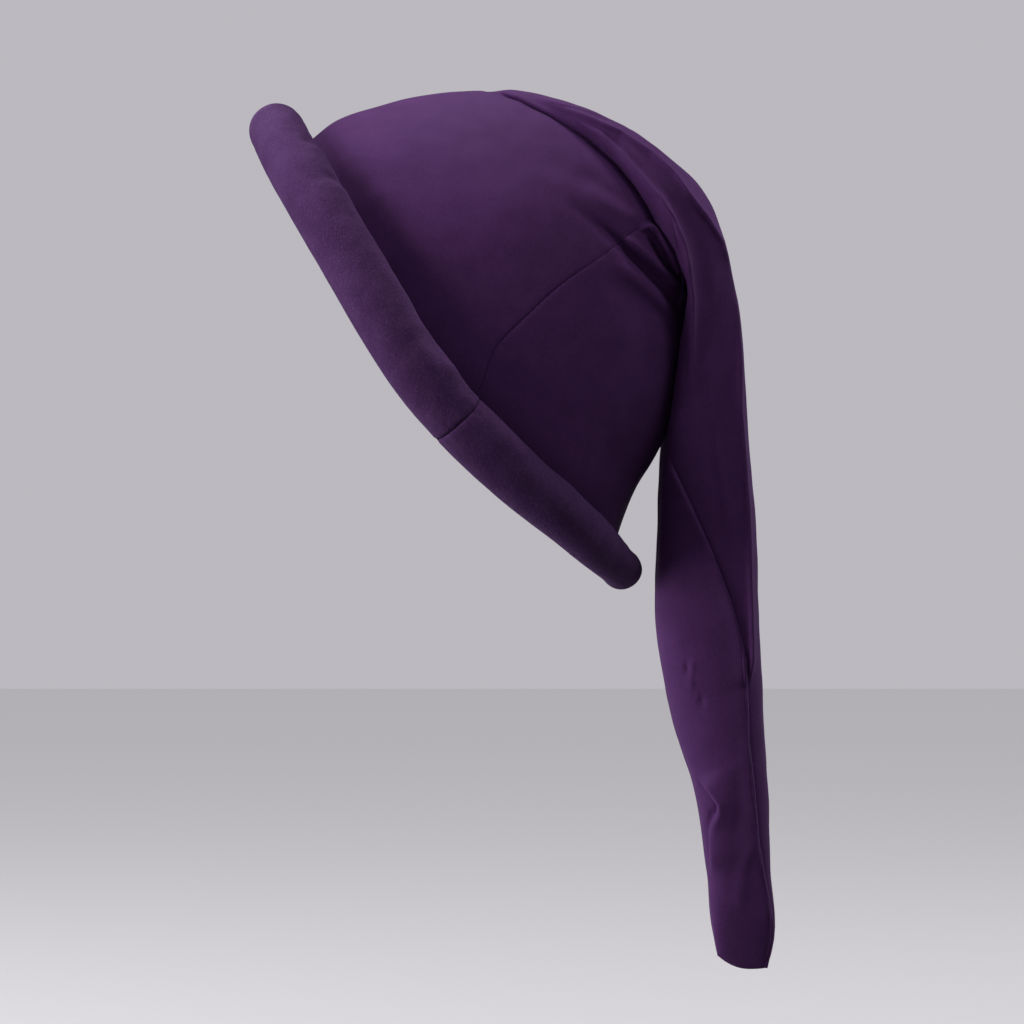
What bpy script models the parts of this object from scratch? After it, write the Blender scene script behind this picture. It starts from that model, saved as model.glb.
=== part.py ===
# Long-tailed elf hat in its worn form, with the origin where a head holds it.
# Metres, +Z up. The hat faces -Y and the wearer's left side, the one in the photo, is +X.

import math

import bmesh
import bpy
import numpy as np
from mathutils import Vector

HAT_NAME = "elf_hat"
CLOTH_THICKNESS = 0.0012
PIECE_GAP = 0.0003
ROLL_GAP = 0.0006

# Mesh sizes: cells across each cloth panel, round the stuffed roll and along each half of it.
PANEL_COLUMNS = 18
ROLL_COLUMNS = 12
ROLL_STEPS = 24
# Angle of the roll's two butt seams, measured from the brow towards the nape.
ROLL_SEAM = 103
# Tilt of the roll's plane: its front is high on the brow and its back is low on the nape.
BRIM_TILT = math.radians(51)

# The stuffed roll, from the brow (0 degrees) past the ear (90) to the nape (180): its radius, and how far it
# rises from the curve that the first two sections below give.
ROLL_TABLE = {
    "angle": (0, 30, 45, 60, 75, 90, 105, 120, 135, 150, 165, 180),
    "radius": (0.0112, 0.0120, 0.0125, 0.0125, 0.0123, 0.0125, 0.0122, 0.0116, 0.0108, 0.0098, 0.0087, 0.0084),
    "rise": (0, 0.0028, 0.0050, 0.0053, 0.0030, -0.0005, -0.0021, -0.0016, 0.0004, 0.0012, 0.0016, 0.0017),
}

# One row for each section of the cloth, from the hem inside the roll to the tip of the tail.
# A section is a closed curve in the middle of the cloth's thickness, through its front point, side point, corner
# point and back point and the mirror images of those. left_seam, right_seam: angles of the side seams from the
# front. steps: mesh rows to the next section.
SECTION_COLUMNS = (
    "front_y", "front_z", "side_x", "side_y", "side_z",
    "corner_x", "corner_y", "corner_z", "back_y", "back_z", "left_seam", "right_seam", "steps",
)
SECTION_ROWS = [
    # crown, from the hem up
    (-0.0667, 0.0775, 0.0750, -0.0300, 0.0060, 0.0550, 0.0405, -0.0680, 0.0630, -0.0898, 103, -103, 2),
    (-0.0617, 0.0816, 0.0752, -0.0250, 0.0102, 0.0552, 0.0452, -0.0637, 0.0678, -0.0855, 103, -103, 2),
    (-0.0565, 0.0858, 0.0758, -0.0185, 0.0160, 0.0555, 0.0510, -0.0550, 0.0718, -0.0740, 102.5, -102.5, 2),
    (-0.0470, 0.0930, 0.0755, -0.0095, 0.0285, 0.0555, 0.0570, -0.0415, 0.0780, -0.0605, 101, -101, 2),
    (-0.0330, 0.0985, 0.0730, 0.0060, 0.0410, 0.0535, 0.0680, -0.0250, 0.0885, -0.0430, 101, -101, 3),
    (-0.0145, 0.1032, 0.0675, 0.0240, 0.0535, 0.0495, 0.0790, -0.0065, 0.0965, -0.0240, 101.5, -101.5, 3),
    (0.0045, 0.1053, 0.0575, 0.0405, 0.0645, 0.0425, 0.0875, 0.0115, 0.1015, -0.0045, 102.5, -102.5, 3),
    (0.0220, 0.1055, 0.0450, 0.0570, 0.0725, 0.0345, 0.0940, 0.0245, 0.1045, 0.0115, 104, -104, 3),
    # crease under the tail's edge, the edge, and the fan of the tail's root
    (0.0285, 0.1045, 0.0355, 0.0745, 0.0690, 0.0320, 0.0960, 0.0285, 0.1055, 0.0215, 107, -106, 2),
    (0.0355, 0.1035, 0.0380, 0.0800, 0.0675, 0.0333, 0.0985, 0.0285, 0.1060, 0.0275, 120, -104, 2),
    (0.0595, 0.0955, 0.0390, 0.0905, 0.0610, 0.0338, 0.1004, 0.0271, 0.1066, 0.0325, 130, -100, 3),
    (0.0843, 0.0815, 0.0390, 0.0993, 0.0500, 0.0338, 0.1018, 0.0245, 0.1082, 0.0362, 133, -96, 3),
    (0.1022, 0.0620, 0.0385, 0.1060, 0.0365, 0.0330, 0.1020, 0.0215, 0.1107, 0.0360, 134, -94, 2),
    # tail, from the back of the crown down
    (0.1100, 0.0470, 0.0380, 0.1090, 0.0260, 0.0318, 0.1014, 0.0175, 0.1123, 0.0315, 135, -93, 2),
    (0.1143, 0.0330, 0.0375, 0.1102, 0.0170, 0.0310, 0.1006, 0.0110, 0.1124, 0.0230, 135, -92, 2),
    (0.1176, 0.0170, 0.0370, 0.1112, 0.0085, 0.0302, 0.0993, 0.0040, 0.1112, 0.0125, 135, -92, 3),
    (0.1204, -0.0090, 0.0360, 0.1130, -0.0090, 0.0296, 0.0975, -0.0090, 0.1072, -0.0090, 136, -92, 3),
    (0.1247, -0.0400, 0.0335, 0.1138, -0.0400, 0.0275, 0.0920, -0.0400, 0.0962, -0.0400, 134, -92, 3),
    (0.1283, -0.0780, 0.0300, 0.1150, -0.0780, 0.0225, 0.0895, -0.0780, 0.0900, -0.0780, 100, -92, 3),
    (0.1306, -0.1160, 0.0265, 0.1160, -0.1160, 0.0190, 0.0910, -0.1160, 0.0893, -0.1160, 75, -92, 3),
    (0.1327, -0.1560, 0.0230, 0.1210, -0.1560, 0.0165, 0.1005, -0.1560, 0.0975, -0.1560, 58, -92, 3),
    (0.1344, -0.1910, 0.0195, 0.1252, -0.1910, 0.0140, 0.1100, -0.1910, 0.1078, -0.1910, 62, -92, 3),
    (0.1357, -0.2205, 0.0145, 0.1280, -0.2205, 0.0105, 0.1140, -0.2205, 0.1125, -0.2205, 55, -92, 3),
    (0.1370, -0.2480, 0.0070, 0.1292, -0.2480, 0.0052, 0.1160, -0.2480, 0.1148, -0.2480, 45, -92, 3),
    (0.1340, -0.2615, 0.0003, 0.1282, -0.2610, 0.0003, 0.1185, -0.2588, 0.1160, -0.2570, 40, -92, 0),
]
# Angles of those points from the front.
SIDE_ANGLE = 75
CORNER_ANGLE = 135

# Folds of the left side, each along a path of (y, z) points in the side view, between two section numbers.
# height is how far the cloth stands out, or sinks where it is negative, and width is half of the fold's width.
# overlap: 1 where the cloth steps up at the path and lies over what is to the right of it, and 0 at a plain fold.
FOLD_COLUMNS = ("path", "first", "last", "height", "width", "overlap")
FOLD_ROWS = [
    # gathers of the crown that run into the tail's mouth
    (((0.050, 0.062), (0.074, 0.050), (0.096, 0.022)), 4, 8.5, -0.0035, 0.0060, 0),
    (((0.020, 0.075), (0.070, 0.062), (0.094, 0.040)), 4, 8.2, 0.0015, 0.0070, 0),
    (((0.045, 0.035), (0.075, 0.025), (0.096, 0.010)), 4, 8.5, 0.0020, 0.0070, 0),
    # flap that lies over the tail's middle band
    (((0.092, -0.046), (0.108, -0.086), (0.118, -0.110), (0.126, -0.150)), 15, 20, 0.0022, 0.0120, 1),
    # ridge between the tail's side and back
    (((0.104, 0.064), (0.119, 0.020), (0.125, -0.060), (0.127, -0.150)), 10, 19, 0.0012, 0.0040, 0),
    # lower crease down to the tip
    (((0.128, -0.185), (0.131, -0.215), (0.134, -0.245)), 18.5, 22, -0.0015, 0.0040, 0),
    # tuck at the tail's inner edge
    (((0.106, -0.182), (0.112, -0.192), (0.113, -0.205)), 19, 21.5, -0.0020, 0.0040, 0),
]

RING_ANGLES = np.radians(np.arange(-180, 180.5, 0.5))
SMALL_STEP = 0.0005


def table_columns(columns, rows):
    return {name: [row[i] for row in rows] for i, name in enumerate(columns)}


def smooth_curve(knots, values):
    """A cubic through the values, as a function of the place between the first knot and the last."""
    knots = np.array(knots, float)
    values = np.array(values, float)
    slopes = np.gradient(values, knots)

    def value_at(place):
        i = int(np.clip(np.searchsorted(knots, place, side="right") - 1, 0, len(knots) - 2))
        width = knots[i + 1] - knots[i]
        t = (place - knots[i]) / width
        start = (1 + 2 * t) * (1 - t) ** 2 * values[i]
        end = t * t * (3 - 2 * t) * values[i + 1]
        return float(start + end + t * (1 - t) * width * ((1 - t) * slopes[i] - t * slopes[i + 1]))

    return value_at


def section_places():
    """Distance of each section from the hem, halfway between the front points' path and the side points'."""
    places = [0.0]
    for before, after in zip(SECTION_ROWS, SECTION_ROWS[1:]):
        front_step = math.dist(before[0:2], after[0:2])
        side_step = math.dist(before[2:5], after[2:5])
        places.append(places[-1] + (front_step + side_step) / 2)
    return places


SECTIONS = table_columns(SECTION_COLUMNS, SECTION_ROWS)
FOLDS = [dict(zip(FOLD_COLUMNS, row)) for row in FOLD_ROWS]
PLACES = section_places()
CURVES = {name: smooth_curve(PLACES, SECTIONS[name]) for name in SECTION_COLUMNS}
roll_radius = smooth_curve(ROLL_TABLE["angle"], ROLL_TABLE["radius"])
roll_rise = smooth_curve(ROLL_TABLE["angle"], ROLL_TABLE["rise"])


HEM_RISES = np.array([roll_rise(abs(angle)) for angle in np.degrees(RING_ANGLES)])


def wave_ring(angles, front, side, corner, back):
    """A mirror-symmetric closed curve through four (x, y, z) points, made of the first few waves round it."""
    known = np.radians((0, SIDE_ANGLE, CORNER_ANGLE, 180))
    even = np.linalg.solve(np.cos(np.outer(known, range(4))), np.array((front, side, corner, back))[:, 1:])
    odd = np.linalg.solve(np.sin(np.outer(known[1:3], (1, 2))), (side[0], corner[0]))
    return np.column_stack((np.sin(np.outer(angles, (1, 2))) @ odd, np.cos(np.outer(angles, range(4))) @ even))


def smooth_ring(place):
    """Points round one section, before the folds."""
    row = {name: curve(place) for name, curve in CURVES.items()}
    front = (0, row["front_y"], row["front_z"])
    side = (row["side_x"], row["side_y"], row["side_z"])
    corner = (row["corner_x"], row["corner_y"], row["corner_z"])
    back = (0, row["back_y"], row["back_z"])
    ring = wave_ring(RING_ANGLES, front, side, corner, back)
    # The hem rises and sinks with the roll, and the crown above it less and less up to the sixth section.
    share = np.interp(place, PLACES[2:6], (1, 0.6, 0.2, 0))
    return ring + share * HEM_RISES[:, None] * np.array((0, math.sin(BRIM_TILT), math.cos(BRIM_TILT)))


def ring_normals(ring_at, place):
    """Outward unit normals of the rings that ring_at gives."""
    along = ring_at(min(place + SMALL_STEP, PLACES[-1])) - ring_at(max(place - SMALL_STEP, 0))
    ring = ring_at(place)
    around = np.roll(ring[:-1], -1, axis=0) - np.roll(ring[:-1], 1, axis=0)
    around = np.vstack((around, around[:1]))
    normals = np.cross(around, along)
    return normals / np.linalg.norm(normals, axis=1)[:, None]


def path_distance(points, path):
    """Distance of (y, z) points from a path, positive on its left side, and the share of the path they lie at."""
    best = np.full(len(points), np.inf)
    signed = np.zeros(len(points))
    share = np.zeros(len(points))
    corners = np.array(path)
    for i, (start, end) in enumerate(zip(corners, corners[1:])):
        run = end - start
        t = np.clip((points - start) @ run / (run @ run), 0, 1)
        offset = points - start - t[:, None] * run
        distance = np.hypot(offset[:, 0], offset[:, 1])
        nearer = distance < best
        side = np.sign(run[0] * offset[:, 1] - run[1] * offset[:, 0])
        best = np.where(nearer, distance, best)
        signed = np.where(nearer, side * distance, signed)
        share = np.where(nearer, (i + t) / (len(corners) - 1), share)
    return signed, share


def fold_heights(ring, place):
    """How far the folds lift each point of a ring."""
    section = np.interp(place, PLACES, range(len(PLACES)))
    left_side = np.clip(ring[:, 0] / 0.010, 0, 1)
    heights = np.zeros(len(ring))
    for fold in FOLDS:
        inside = np.clip(min(section - fold["first"], fold["last"] - section), 0, 1)
        if inside == 0:
            continue
        distance, share = path_distance(ring[:, 1:], fold["path"])
        towards_ends = np.sin(np.pi * np.clip(share, 0.02, 0.98)) ** 0.5
        if fold["overlap"]:
            step = 0.5 - 0.5 * np.tanh(distance / 0.0012)
            shape = step * np.exp(-np.abs(distance) / fold["width"])
        else:
            shape = np.exp(-((distance / fold["width"]) ** 2))
        heights += fold["height"] * shape * towards_ends * left_side * inside
    return heights


def cloth_ring(place):
    """Points round one section, with the folds."""
    ring = smooth_ring(place)
    return ring + ring_normals(smooth_ring, place) * fold_heights(ring, place)[:, None]


def ring_positions(ring):
    """Length round the ring at each of its points, and the same with its sharp turns stretched."""
    edges = np.diff(ring, axis=0)
    lengths = np.linalg.norm(edges, axis=1)
    headings = edges / lengths[:, None]
    turns = np.arccos(np.clip(np.sum(headings * np.roll(headings, 1, axis=0), axis=1), -1, 1))
    stretched = lengths + 0.008 * (turns + np.roll(turns, -1)) / 2
    return np.append(0, np.cumsum(lengths)), np.append(0, np.cumsum(stretched))


def panel_row(place, is_front):
    """Outer and inner points of one row of a panel, which ends half a gap short of both side seams."""
    ring = cloth_ring(place)
    normals = ring_normals(cloth_ring, place)
    lengths, stretched = ring_positions(ring)
    degrees = np.degrees(RING_ANGLES)
    left_seam = np.interp(CURVES["left_seam"](place), degrees, lengths)
    right_seam = np.interp(CURVES["right_seam"](place), degrees, lengths)
    half_gap = PIECE_GAP / 2
    if is_front:
        ends = (right_seam + half_gap, left_seam - half_gap)
    else:
        # The back panel crosses the middle of the back, where the ring starts and ends.
        ends = (left_seam + half_gap, right_seam - half_gap + lengths[-1])
        ring = np.vstack((ring, ring[1:]))
        normals = np.vstack((normals, normals[1:]))
        stretched = np.append(stretched, stretched[1:] + stretched[-1])
        lengths = np.append(lengths, lengths[1:] + lengths[-1])
    first, last = np.interp(ends, lengths, stretched)
    wanted = np.linspace(first, last, PANEL_COLUMNS + 1)
    middle = np.column_stack([np.interp(wanted, stretched, ring[:, k]) for k in range(3)])
    outward = np.column_stack([np.interp(wanted, stretched, normals[:, k]) for k in range(3)])
    inside = CLOTH_THICKNESS * np.interp(place, PLACES[-4:], (0.5, 0.5, 0.3, 0))
    return middle + outward * (CLOTH_THICKNESS - inside), middle - outward * inside


def row_places():
    """Places of the mesh rows: each section's number of steps, evenly spaced to the next one."""
    places = []
    for start, end, steps in zip(PLACES, PLACES[1:], SECTIONS["steps"]):
        places += list(np.linspace(start, end, steps, endpoint=False))
    return places + [PLACES[-1]]


def make_material(name, colour, roughness):
    material = bpy.data.materials.new(name)
    material.diffuse_color = (*colour, 1)
    material.use_nodes = True
    shader = material.node_tree.nodes["Principled BSDF"]
    shader.inputs["Base Color"].default_value = (*colour, 1)
    shader.inputs["Roughness"].default_value = roughness
    shader.inputs["Metallic"].default_value = 0
    return material


def add_object(name, bm, collection, material):
    bmesh.ops.recalc_face_normals(bm, faces=bm.faces)
    mesh = bpy.data.meshes.new(name)
    bm.to_mesh(mesh)
    bm.free()
    mesh.materials.append(material)
    piece = bpy.data.objects.new(name, mesh)
    collection.objects.link(piece)
    return piece


def add_grid(bm, points):
    """A grid whose vertices are moved to the rows of points."""
    rows = len(points) - 1
    columns = len(points[0]) - 1
    grid = bmesh.ops.create_grid(bm, x_segments=columns, y_segments=rows, size=0.5)
    for vertex in grid["verts"]:
        column = round((vertex.co.x + 0.5) * columns)
        row = round((vertex.co.y + 0.5) * rows)
        vertex.co = points[row][column]


def make_panel(name, is_front, collection, material):
    """One half of the cloth: an outer and an inner surface, joined along their edge."""
    rows = [panel_row(place, is_front) for place in row_places()]
    bm = bmesh.new()
    add_grid(bm, [outer for outer, inner in rows])
    add_grid(bm, [inner for outer, inner in rows])
    bmesh.ops.bridge_loops(bm, edges=[edge for edge in bm.edges if edge.is_boundary])
    return add_object(name, bm, collection, material)


def hem_line():
    """The outer face of the hem where the roll lies against it, at each whole degree from the nape round."""
    place = PLACES[1] * 0.55
    return (smooth_ring(place) + ring_normals(smooth_ring, place) * CLOTH_THICKNESS / 2)[::2]


def make_roll(name, first, last, collection, material):
    """Half of the stuffed roll: a tube that lies against the hem, closed at the two seams."""
    hem = hem_line()
    up = Vector((0, math.sin(BRIM_TILT), math.cos(BRIM_TILT)))
    half_gap = math.degrees(PIECE_GAP / 2 / max(hem[:, 0]))
    turns = [math.tau * i / ROLL_COLUMNS for i in range(ROLL_COLUMNS + 1)]
    rings = []
    for angle in np.linspace(first + half_gap, last - half_gap, ROLL_STEPS + 1):
        wrapped = (angle + 180) % 360 - 180
        before, here, after = (
            Vector([np.interp((wrapped + step + 180) % 360, range(361), hem[:, k]) for k in range(3)])
            for step in (-1, 0, 1)
        )
        outward = (after - before).cross(up).normalized()
        rising = outward.cross(after - before).normalized()
        radius = roll_radius(abs(wrapped))
        middle = here + outward * (radius + ROLL_GAP)
        rings.append([middle + (outward * math.cos(turn) + rising * math.sin(turn)) * radius for turn in turns])
    bm = bmesh.new()
    add_grid(bm, rings)
    bmesh.ops.remove_doubles(bm, verts=bm.verts, dist=0.0001)
    bmesh.ops.holes_fill(bm, edges=bm.edges)
    return add_object(name, bm, collection, material)


def main():
    for old in list(bpy.data.objects):
        bpy.data.objects.remove(old, do_unlink=True)
    collection = bpy.data.collections.new(HAT_NAME)
    bpy.context.scene.collection.children.link(collection)
    jersey = make_material("jersey_cloth", (0.105, 0.045, 0.150), 0.72)
    velour = make_material("velour_roll", (0.115, 0.050, 0.160), 0.85)
    make_panel("front_panel", True, collection, jersey)
    make_panel("back_panel", False, collection, jersey)
    make_roll("brim_front", -ROLL_SEAM, ROLL_SEAM, collection, velour)
    make_roll("brim_back", ROLL_SEAM, 360 - ROLL_SEAM, collection, velour)


main()
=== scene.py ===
# Long-tailed elf hat in its worn form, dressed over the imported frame.
# Metres, +Z up. The hat faces -Y, and +X is the wearer's left side, the one in the photograph.

import math

import bmesh
import bpy
import numpy as np
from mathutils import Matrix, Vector, noise


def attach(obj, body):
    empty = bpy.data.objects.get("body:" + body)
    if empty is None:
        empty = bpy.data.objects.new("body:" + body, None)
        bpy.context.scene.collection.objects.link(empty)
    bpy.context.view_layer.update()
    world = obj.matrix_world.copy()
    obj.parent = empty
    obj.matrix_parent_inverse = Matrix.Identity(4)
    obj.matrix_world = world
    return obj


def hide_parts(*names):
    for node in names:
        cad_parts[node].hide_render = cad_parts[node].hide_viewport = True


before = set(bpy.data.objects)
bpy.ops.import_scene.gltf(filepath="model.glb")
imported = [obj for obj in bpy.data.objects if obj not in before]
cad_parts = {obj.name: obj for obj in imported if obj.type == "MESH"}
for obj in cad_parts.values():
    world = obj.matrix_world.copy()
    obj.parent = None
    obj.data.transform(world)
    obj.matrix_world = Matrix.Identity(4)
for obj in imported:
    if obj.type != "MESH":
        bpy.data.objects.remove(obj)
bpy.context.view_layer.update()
print("stage: frame loaded,", len(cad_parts), "nodes")

# the camera stands level, on the wearer's left
photoView = {
    "distance": 1.8,  # from the hat's middle plane
    "metresPerPixel": 0.00042,  # at that plane
    "imagePixels": 1024,
    "sensorWidth": 36,  # millimetres
    "aim": (0.0, 0.0273, -0.0701),  # what is at the middle of the picture
}

# the cloth, in sections from the hem inside the roll to the tip of the tail
clothForm = {
    "thickness": 0.0012,
    "rows": 325,  # mesh cells from the hem to the tip
    "columns": 152,  # and across each panel
    "seamGap": 0.00005,  # from the seam to each panel's edge
    "brimTilt": 51,  # degrees that the head opening's axis leans back
    "rollPlace": 0.55,  # where the roll is sewn on, as a share of the way from the hem to the second section
    "hemFollows": (1, 0.6, 0.2, 0),  # how much the third to the sixth section rise and sink with the roll
    "sideAngle": 75,  # degrees from the front to each section's side point
    "cornerAngle": 135,  # and to its corner point
    # each section is a closed curve through its front, side, corner and back points, mirrored to the right;
    # the seams are angles from the front, and spacing is how far apart the mesh rows are there, in proportion
    "sectionColumns": (
        "frontY", "frontZ", "sideX", "sideY", "sideZ", "cornerX", "cornerY", "cornerZ", "backY", "backZ",
        "leftSeam", "rightSeam", "spacing",
    ),
    "sections": [
        # crown
        (-0.0667, 0.0775, 0.0750, -0.0300, 0.0060, 0.0550, 0.0405, -0.0680, 0.0630, -0.0898, 103, -103, 2.6),
        (-0.0617, 0.0816, 0.0752, -0.0250, 0.0102, 0.0552, 0.0452, -0.0637, 0.0678, -0.0855, 103, -103, 2.6),
        (-0.0565, 0.0858, 0.0758, -0.0185, 0.016, 0.0555, 0.051, -0.055, 0.0718, -0.074, 102.5, -102.5, 2.7),
        (-0.0470, 0.0930, 0.0755, -0.0095, 0.0285, 0.0555, 0.0570, -0.0415, 0.0780, -0.0605, 101, -101, 2.6),
        (-0.0330, 0.0985, 0.0730, 0.0060, 0.0410, 0.0535, 0.0680, -0.0250, 0.0885, -0.0430, 101, -101, 2.2),
        (-0.0145, 0.1032, 0.0675, 0.0240, 0.0535, 0.0495, 0.0790, -0.0065, 0.0965, -0.0240, 102, -101.5, 1.4),
        (0.0010, 0.1051, 0.0575, 0.0405, 0.0645, 0.0425, 0.0875, 0.0115, 0.1015, -0.0045, 105.3, -102.5, 0.8),
        (0.0130, 0.1057, 0.0450, 0.0570, 0.0725, 0.0345, 0.0940, 0.0245, 0.1045, 0.0115, 106, -104, 0.64),
        # crease under the tail's edge, the edge, and the fan of the tail's root
        (0.0190, 0.1056, 0.0355, 0.0745, 0.0690, 0.0320, 0.0960, 0.0285, 0.1055, 0.0215, 102, -106, 0.5),
        (0.0270, 0.1064, 0.0380, 0.0800, 0.0675, 0.0333, 0.0985, 0.0285, 0.1060, 0.0275, 104.5, -104, 0.36),
        (0.0588, 0.0957, 0.0390, 0.0905, 0.0610, 0.0338, 0.1004, 0.0271, 0.1066, 0.0325, 118, -100, 0.55),
        (0.0853, 0.0825, 0.0390, 0.0993, 0.0500, 0.0338, 0.1018, 0.0245, 0.1082, 0.0362, 126, -96, 1.2),
        (0.1062, 0.0640, 0.0385, 0.1060, 0.0365, 0.0330, 0.1020, 0.0215, 0.1107, 0.0360, 132, -94, 1.8),
        # tail, from the back of the crown down
        (0.1118, 0.0470, 0.0380, 0.1090, 0.0260, 0.0318, 0.1014, 0.0175, 0.1123, 0.0315, 135, -93, 2.2),
        (0.1143, 0.0330, 0.0375, 0.1102, 0.0170, 0.0310, 0.1006, 0.0110, 0.1124, 0.0230, 135, -92, 2.4),
        (0.1176, 0.0170, 0.0370, 0.1112, 0.0085, 0.0302, 0.0993, 0.0040, 0.1112, 0.0125, 135, -92, 2.7),
        (0.1204, -0.0090, 0.0360, 0.1130, -0.0090, 0.0296, 0.0975, -0.0090, 0.1072, -0.0090, 134, -92, 3.2),
        (0.1247, -0.0400, 0.0335, 0.1138, -0.0400, 0.0275, 0.0920, -0.0400, 0.0962, -0.0400, 123, -92, 3.2),
        (0.1283, -0.0780, 0.0300, 0.1150, -0.0780, 0.0225, 0.0895, -0.0780, 0.0900, -0.0780, 91.5, -92, 2.8),
        (0.1306, -0.1160, 0.0265, 0.1160, -0.1160, 0.0190, 0.0905, -0.1160, 0.0887, -0.1160, 66, -92, 2.0),
        (0.1327, -0.1560, 0.0230, 0.1200, -0.1560, 0.0165, 0.0985, -0.1560, 0.0953, -0.1560, 63.5, -92, 1.7),
        (0.1344, -0.1910, 0.0195, 0.1242, -0.1910, 0.0140, 0.1078, -0.1910, 0.1056, -0.1910, 65, -92, 0.95),
        (0.1357, -0.2205, 0.0145, 0.1268, -0.2205, 0.0105, 0.1114, -0.2205, 0.1097, -0.2205, 57, -92, 2.3),
        (0.1370, -0.2480, 0.0070, 0.1280, -0.2480, 0.0052, 0.1134, -0.2478, 0.1123, -0.2475, 36, -92, 2.5),
        (0.1340, -0.2615, 0.0003, 0.1275, -0.2617, 0.0003, 0.1178, -0.2590, 0.1142, -0.2564, 28, -92, 1.7),
    ],
}

# the stuffed roll, from the brow past the ear to the nape; the right side is the same, without the dents
rollForm = {
    "angle": (0, 30, 45, 60, 75, 90, 105, 120, 135, 150, 165, 180),  # degrees from the brow
    "radius": (0.0112, 0.012, 0.0125, 0.0125, 0.0123, 0.0125, 0.0122, 0.0116, 0.0108, 0.0098, 0.0087, 0.0084),
    "rise": (0, 0.0028, 0.0050, 0.0053, 0.0030, -0.0005, -0.0021, -0.0016, 0.0004, 0.0012, 0.0016, 0.0017),
    "seam": 103,  # where the two halves meet
    "halfGap": 0.0001,  # from there to each half
    "gapToHem": 0.0006,
    "steps": 300,
    "columns": 72,
    "crowding": 0.12,  # how much closer the rings are at the butt seams
    "meanRadius": 0.012,
    "inset": 0.0001,
    "lumps": (0.00045, 42, 5.3),  # height, lumps per metre, and a seed
    "smallLumps": (0.00016, 150, 9.1),
    "lowerLumps": 0.25,  # how much of the lumps the lower side has
    "crownSide": (-0.2, 0.9),  # on the way up its round: where the upper side starts, and over how much
    "sewnPart": (0.72, 0.25),  # the same on the way in to the cloth, for the part that stays in place
    "sewnReach": 0.0018,  # how far it swells towards the cloth, into its thickness
    "reachPart": (0.75, 0.2),
    "buttSeam": (0.0005, 0.0008),  # depth and width
    "pucker": (0.0002, 0.0045),  # depth beside the butt seams, and how far it runs out
    "puckerCount": 17,
    # angle from the brow, turn round the roll, depth, and the half widths along and round it
    "dents": [
        (33, 66, 0.0011, 0.0028, 0.0040),
        (37, 72, -0.0008, 0.0026, 0.0040),
        (46, 66, 0.0014, 0.0030, 0.0040),
        (50, 72, -0.0008, 0.0030, 0.0040),
        (88, 62, 0.0014, 0.0060, 0.0050),
        (94, 66, -0.0008, 0.0050, 0.0050),
        (126, 70, 0.0009, 0.0070, 0.0050),
    ],
}

# folds of the cloth, in millimetres: each lies along a path of (y, z) points as the photograph shows them.
# height is how far the cloth stands out, and width is half of the fold's width, at the path's two ends;
# fadeIn and fadeOut are the shares of the path over which it starts and ends; it acts between two sections,
# and rightShare is how much of it shows on the unseen side
ridgePaths = {
    "first": (
        (50, 97), (56, 93.5), (64.5, 88), (73, 80), (81, 71), (89.5, 61), (95.3, 51), (99.5, 41.5),
        (101.6, 31.5), (103, 20.5), (103, 6), (102.5, -10.5), (102, -27),
    ),
    "second": (
        (38, 103), (57.5, 95.3), (73, 88.5), (85.3, 80), (94.5, 71), (101.2, 61.7), (108.8, 52.5),
        (114.7, 42.5), (118, 31.5), (120.5, 20.5), (121.8, 6.3), (122.2, -6.3), (122.2, -23), (124, -44),
        (125.2, -65), (126.4, -86), (127.3, -115.5), (127.7, -132), (126.4, -145),
    ),
}
foldColumns = ("kind", "path", "height", "width", "fadeIn", "fadeOut", "first", "last", "rightShare")
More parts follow.
